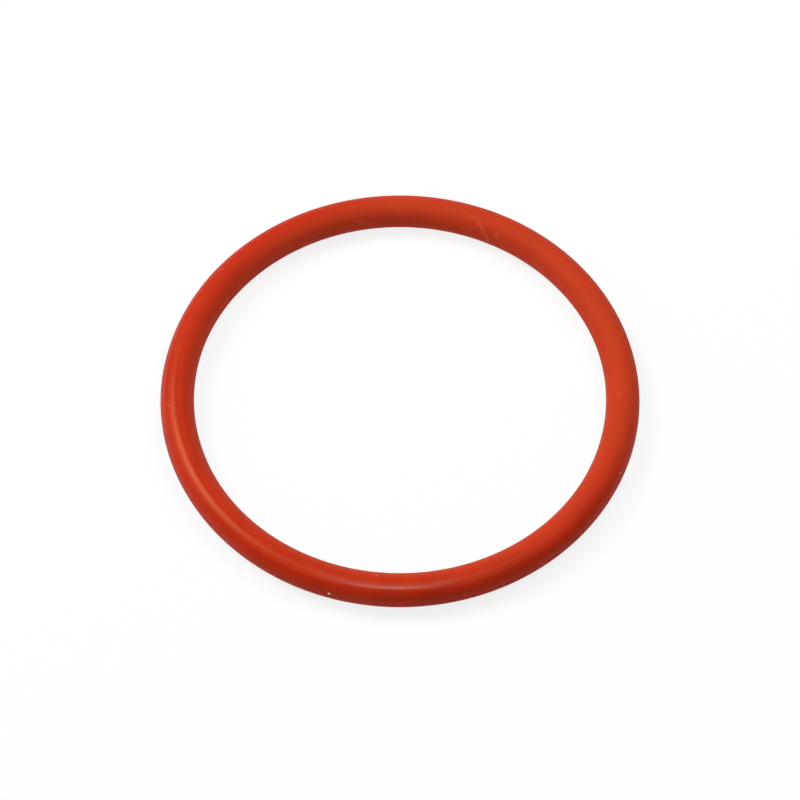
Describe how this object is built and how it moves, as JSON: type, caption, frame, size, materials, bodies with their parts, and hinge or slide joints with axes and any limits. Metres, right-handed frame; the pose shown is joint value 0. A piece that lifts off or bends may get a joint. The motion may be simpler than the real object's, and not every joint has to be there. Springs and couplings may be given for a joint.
{
  "type": "o-ring gasket",
  "caption": "Red silicone rubber sealing ring of round section, moulded in one piece, that seals a groove or a flange face.",
  "frame": {"origin": "centre of the ring, in the plane of its mould line, halfway up the section", "axes": "+Z along the ring's axis, up from the surface that it lies on; X and Y in the ring's plane"},
  "size_m": [0.058, 0.058, 0.004],
  "materials": {
    "red_silicone": "satin"
  },
  "bodies": {
    "root": {"o_ring": "red_silicone"}
  },
  "joints": []
}
